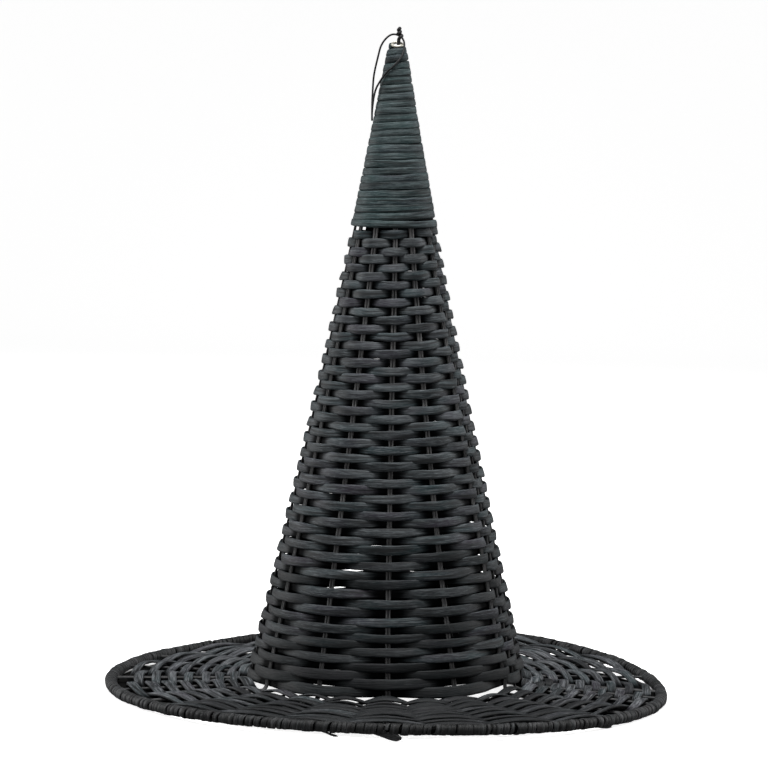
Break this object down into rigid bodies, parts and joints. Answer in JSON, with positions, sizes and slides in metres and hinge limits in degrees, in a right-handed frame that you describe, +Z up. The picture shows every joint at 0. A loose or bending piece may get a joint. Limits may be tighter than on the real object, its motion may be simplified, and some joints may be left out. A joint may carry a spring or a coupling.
{
  "type": "rattan witch hat",
  "caption": "Tall pointed hat woven in dark rattan: hollow cone crown, wound tip with a ring and string loop, wide woven brim with a wrapped hoop edge.",
  "frame": {"origin": "middle of the hat on the surface that it stands on, below the crown's axis", "axes": "+Z up from the surface, with the crown leaning 0.64 degrees to the left of it, -Y the front seen in the picture, +X the right in the picture"},
  "size_m": [0.4, 0.4, 0.4723],
  "materials": {
    "woven_cane": "flat rattan core dyed charcoal with a blue-green cast, satin, fibres along the strip",
    "stake_cane": "thin round canes dyed charcoal, slightly lighter where they show, satin",
    "rim_cane": "hoop wrapped in narrow flat cane, dyed charcoal, satin with worn ridges",
    "tip_cane": "flat cane wound edge to edge, dyed teal grey, satin",
    "ring_metal": "small pale plated ring, slightly dull",
    "string": "thin black waxed string"
  },
  "bodies": {
    "root": {"crown_weave": "woven_cane", "brim_weave": "woven_cane", "rim": "rim_cane", "tip_wrap": "tip_cane", "tip_ring": "ring_metal", "loop_knot": "string", "hanging_loop": "string", "stake_extra": "stake_cane", "stake_01_left": "stake_cane", "stake_01_right": "stake_cane", "stake_02_left": "stake_cane", "stake_02_right": "stake_cane", "stake_03_left": "stake_cane", "stake_03_right": "stake_cane", "stake_04_left": "stake_cane", "stake_04_right": "stake_cane", "stake_05_left": "stake_cane", "stake_05_right": "stake_cane", "stake_06_left": "stake_cane", "stake_06_right": "stake_cane", "stake_07_left": "stake_cane", "stake_07_right": "stake_cane", "stake_08_left": "stake_cane", "stake_08_right": "stake_cane", "stake_09_left": "stake_cane", "stake_09_right": "stake_cane", "stake_10_left": "stake_cane", "stake_10_right": "stake_cane", "stake_11_left": "stake_cane", "stake_11_right": "stake_cane", "stake_12_left": "stake_cane", "stake_12_right": "stake_cane", "brim_spoke_01": "stake_cane", "brim_spoke_02": "stake_cane", "brim_spoke_03": "stake_cane", "brim_spoke_04": "stake_cane", "brim_spoke_05": "stake_cane", "brim_spoke_06": "stake_cane", "brim_spoke_07": "stake_cane", "brim_spoke_08": "stake_cane", "brim_spoke_09": "stake_cane", "brim_spoke_10": "stake_cane", "brim_spoke_11": "stake_cane", "brim_spoke_12": "stake_cane"}
  },
  "joints": []
}
